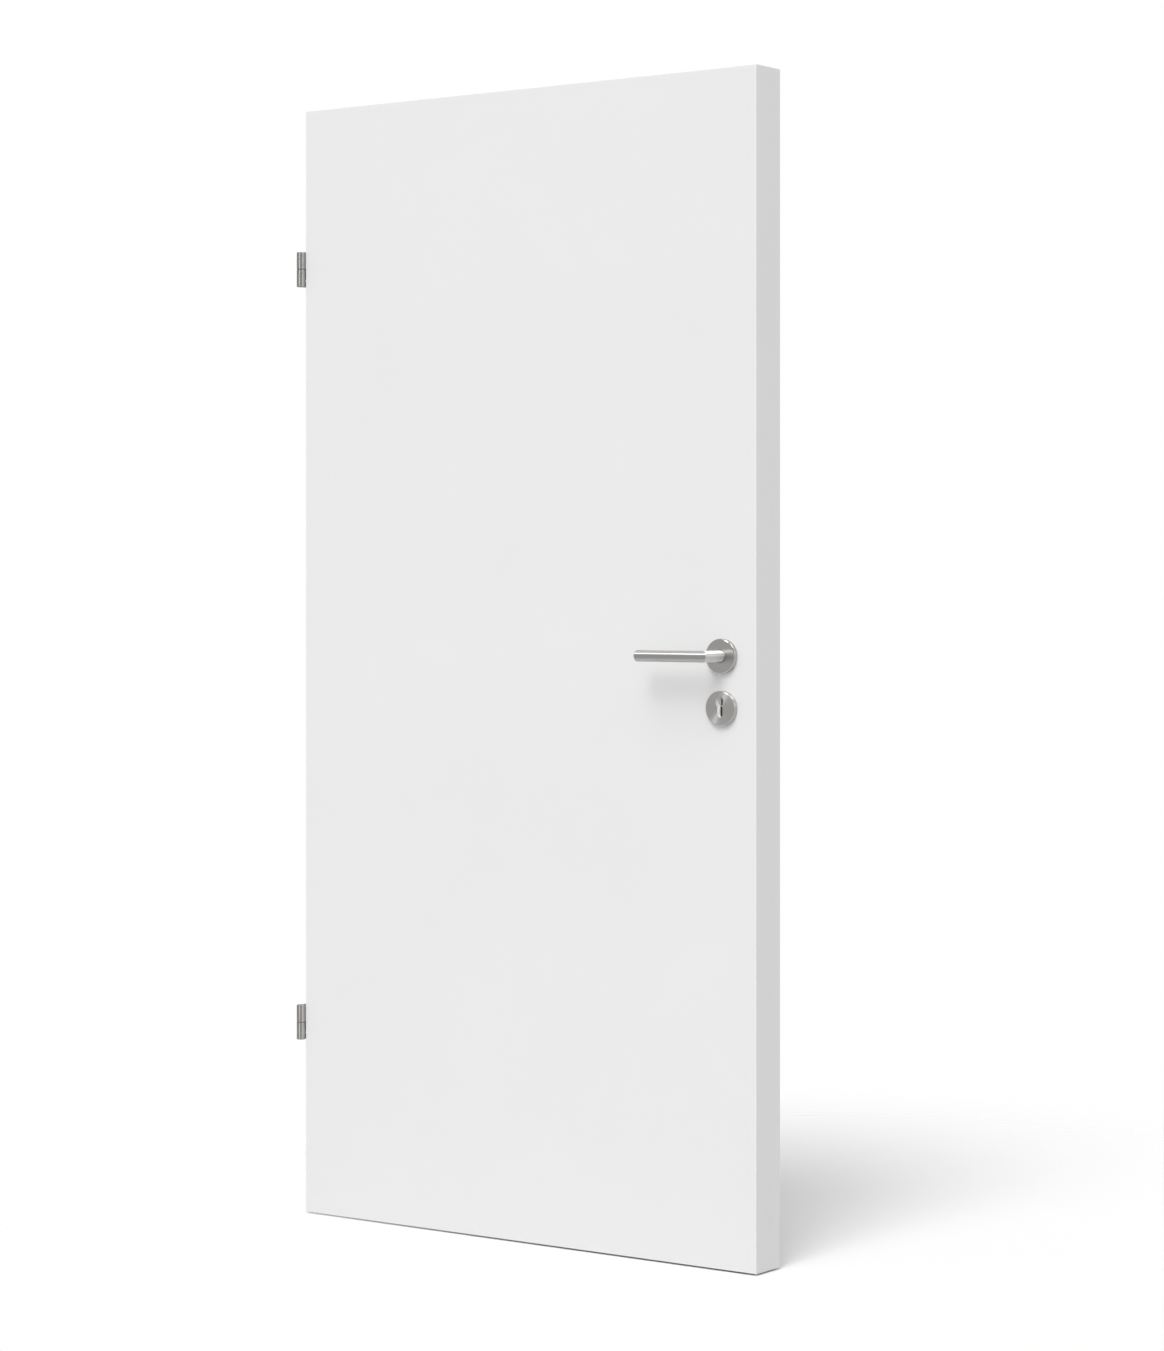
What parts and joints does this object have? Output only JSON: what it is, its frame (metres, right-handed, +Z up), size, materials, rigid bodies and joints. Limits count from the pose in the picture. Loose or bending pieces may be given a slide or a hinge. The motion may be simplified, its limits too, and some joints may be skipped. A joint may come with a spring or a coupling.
{
  "type": "door leaf",
  "caption": "Flush white door leaf with knuckle hinges on one edge and a mitred lever, round rose and keyhole rose near the other.",
  "frame": {"origin": "middle of the mounting face of the lower hinge's frame flap", "axes": "+X from the hinge edge to the lock edge, +Y from the front face to the back face, +Z up"},
  "size_m": [0.975, 0.204, 1.972],
  "materials": {
    "white_sheet": "white laminate on fibreboard",
    "white_band": "white edge band, satin",
    "timber": "planed softwood",
    "chipboard": "raw board",
    "satin_steel": "satin brushed stainless",
    "hinge_steel": "satin stainless",
    "pin_steel": "ground steel",
    "nylon": "moulded nylon",
    "white_nylon": "moulded nylon",
    "nickel_brass": "matt nickel plated",
    "bronzed_brass": "dark bronzed"
  },
  "bodies": {
    "frame_hinges": {"lower_hinge_frame_half": "hinge_steel", "lower_hinge_pin": "pin_steel", "lower_hinge_washer": "hinge_steel", "upper_hinge_frame_half": "hinge_steel", "upper_hinge_pin": "pin_steel", "upper_hinge_washer": "hinge_steel"},
    "leaf": {"lower_hinge_leaf_half": "hinge_steel", "upper_hinge_leaf_half": "hinge_steel", "front_face_sheet": "white_sheet", "back_face_sheet": "white_sheet", "hinge_edge_band": "white_band", "lock_edge_band": "white_band", "top_edge_band": "white_band", "bottom_edge_band": "white_band", "hinge_stile": "timber", "lock_stile": "timber", "top_rail": "timber", "bottom_rail": "timber", "core_panel": "chipboard", "front_rose_cap": "satin_steel", "front_rose_base": "nylon", "front_key_cap": "satin_steel", "front_key_base": "white_nylon", "front_plug": "nickel_brass", "back_rose_cap": "satin_steel", "back_rose_base": "nylon", "back_key_cap": "satin_steel", "back_key_base": "white_nylon", "back_plug": "nickel_brass", "cylinder_body": "bronzed_brass"},
    "lever_set": {"spindle": "pin_steel", "front_lever_neck": "satin_steel", "front_lever_grip": "satin_steel", "back_lever_neck": "satin_steel", "back_lever_grip": "satin_steel"}
  },
  "joints": [
    {"name": "leaf_swing", "type": "hinge", "parent": "frame_hinges", "child": "leaf", "pos_m": [0.002, -0.024, 0], "axis": [0, 0, -1], "range_deg": [0, 170]},
    {"name": "lever_turn", "type": "hinge", "parent": "leaf", "child": "lever_set", "pos_m": [0.904, -0.0207, 0.6671], "axis": [0, -1, 0], "range_deg": [0, 40], "stiffness_Nm_per_rad": 1.2, "springref_deg": -51.57}
  ]
}
